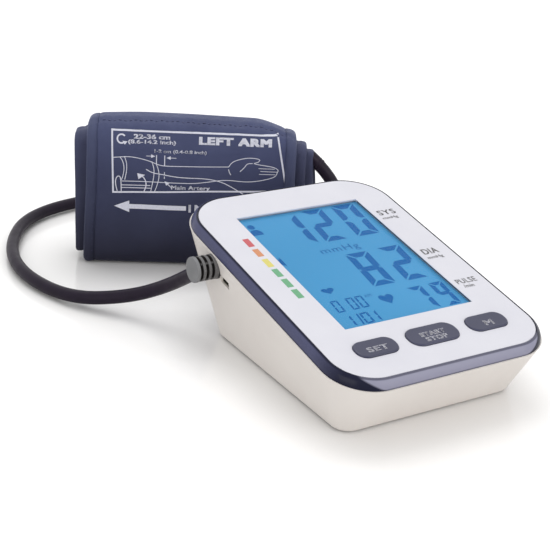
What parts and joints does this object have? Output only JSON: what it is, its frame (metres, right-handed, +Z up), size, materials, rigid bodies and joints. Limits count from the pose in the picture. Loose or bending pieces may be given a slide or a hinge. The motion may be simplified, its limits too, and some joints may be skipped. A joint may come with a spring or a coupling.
{
  "type": "upper arm blood pressure monitor",
  "caption": "Desktop upper-arm blood pressure monitor with a tilted display, three keys, an air plug and hose, and a rolled fabric cuff.",
  "frame": {"origin": "on the surface it stands on, under the middle of the box round the unit and its rolled cuff", "axes": "+Z up, -Y towards the user at the front of the unit, +X to the right of the unit"},
  "size_m": [0.2254, 0.3459, 0.0875],
  "materials": {
    "warm_white_abs": "matte",
    "cool_white_abs": "satin",
    "navy_gloss": "gloss",
    "slate_key": "satin",
    "clear_lens": "gloss",
    "display_glass": "gloss",
    "light_guide": "satin",
    "frame_white": "matte",
    "board_green": "satin",
    "black_plastic": "matte",
    "steel": "satin",
    "nickel": "gloss",
    "grey_rubber": "matte",
    "dark_rubber": "matte",
    "hose_rubber": "satin",
    "silicone": "satin",
    "plug_grey": "satin",
    "cell_jacket": "gloss",
    "pump_grey": "satin",
    "navy_fabric": "matte",
    "navy_tape": "matte",
    "hook_tape": "matte",
    "bladder_rubber": "matte"
  },
  "bodies": {
    "monitor": {"air_socket": "black_plastic", "air_tee": "black_plastic", "backlight_panel": "light_guide", "battery_cell_1": "cell_jacket", "battery_cell_2": "cell_jacket", "battery_cell_3": "cell_jacket", "battery_cell_4": "cell_jacket", "battery_contacts": "nickel", "board_screws": "steel", "buzzer": "black_plastic", "case_screws": "steel", "contact_springs": "nickel", "contact_strips": "silicone", "controller_chip": "black_plastic", "display_lens": "clear_lens", "face_plate": "cool_white_abs", "lcd_frame": "frame_white", "lcd_glass": "display_glass", "lower_case": "warm_white_abs", "main_board": "board_green", "motor_sleeve": "dark_rubber", "port_board": "board_green", "power_socket": "nickel", "pressure_sensor": "black_plastic", "pump_cradle": "grey_rubber", "pump_diaphragm": "dark_rubber", "pump_head": "pump_grey", "pump_motor": "steel", "pump_tube": "silicone", "rubber_feet": "dark_rubber", "sensor_tube": "silicone", "socket_tube": "silicone", "tact_switches": "black_plastic", "trim_ring": "navy_gloss", "valve_body": "steel", "valve_tube": "silicone"},
    "start_stop_key": {"start_stop_key": "slate_key"},
    "set_key": {"set_key": "slate_key"},
    "memory_key": {"memory_key": "slate_key"},
    "battery_cover": {"battery_cover": "warm_white_abs"},
    "cuff_set": {"cuff_outer_turn": "navy_fabric", "cuff_inner_turn": "navy_fabric", "cuff_core": "navy_fabric", "air_bladder": "bladder_rubber", "cuff_bar": "steel", "edge_binding_left": "navy_tape", "edge_binding_right": "navy_tape", "hook_patch": "hook_tape", "hose_grommet": "dark_rubber", "air_hose": "hose_rubber", "plug_body": "plug_grey", "plug_cap": "plug_grey", "plug_seal": "dark_rubber"},
    "pump_rotor": {"motor_shaft": "steel", "pump_eccentric": "pump_grey"},
    "valve_plunger": {"valve_plunger": "steel"}
  },
  "joints": [
    {"name": "set_key_press", "type": "slide", "parent": "monitor", "child": "set_key", "axis": [0, 0.1736, -0.9848], "range_m": [0, 0.0006], "stiffness_N_per_m": 1200, "springref_m": -0.0002},
    {"name": "start_stop_key_press", "type": "slide", "parent": "monitor", "child": "start_stop_key", "axis": [0, 0.1736, -0.9848], "range_m": [0, 0.0006], "stiffness_N_per_m": 1200, "springref_m": -0.0002},
    {"name": "memory_key_press", "type": "slide", "parent": "monitor", "child": "memory_key", "axis": [0, 0.1736, -0.9848], "range_m": [0, 0.0006], "stiffness_N_per_m": 1200, "springref_m": -0.0002},
    {"name": "battery_cover_slide", "type": "slide", "parent": "monitor", "child": "battery_cover", "axis": [0, 1, 0], "range_m": [0, 0.055]},
    {"name": "air_plug_pull", "type": "slide", "parent": "monitor", "child": "cuff_set", "axis": [-1, 0, 0], "range_m": [0, 0.012]},
    {"name": "pump_spin", "type": "hinge", "parent": "monitor", "child": "pump_rotor", "pos_m": [0.01433, -0.07613, 0.017], "axis": [1, 0, 0], "continuous": true},
    {"name": "valve_plunger_pull", "type": "slide", "parent": "monitor", "child": "valve_plunger", "axis": [0, 0, -1], "range_m": [0, 0.0008], "stiffness_N_per_m": 600, "springref_m": -0.0002}
  ]
}
